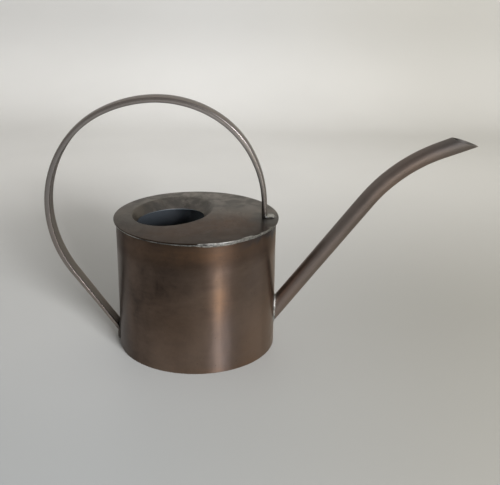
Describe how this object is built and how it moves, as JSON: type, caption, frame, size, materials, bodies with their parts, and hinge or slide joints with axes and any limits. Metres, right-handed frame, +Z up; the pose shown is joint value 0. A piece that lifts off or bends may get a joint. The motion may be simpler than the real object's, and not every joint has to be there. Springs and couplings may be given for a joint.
{
  "type": "watering can",
  "caption": "Indoor watering can: cylindrical sheet-metal body, offset dished filler opening, high arched handle of flattened tube and long swan-neck spout.",
  "frame": {"origin": "centre of the round base, on the surface the can stands on", "axes": "+Z up, +X towards the spout, spout and handle in the plane Y = 0"},
  "size_m": [0.3345, 0.13, 0.2015],
  "materials": {
    "wall_copper": "aged copper, brown patina, worn satin polish",
    "base_copper": "aged copper, dull",
    "cover_copper": "aged copper, heat stained, satin",
    "spout_copper": "aged copper tube, brown patina, satin",
    "handle_copper": "flattened copper tube, grey-brown, polished by handling",
    "solder": "dull tin-grey solder"
  },
  "bodies": {
    "root": {"body_wall": "wall_copper", "base_plate": "base_copper", "top_cover": "cover_copper", "spout_tube": "spout_copper", "handle_strap": "handle_copper", "wall_seam_solder": "solder", "base_solder": "solder", "rim_solder": "solder", "spout_solder": "solder", "front_foot_solder": "solder", "rear_foot_solder": "solder"}
  },
  "joints": []
}
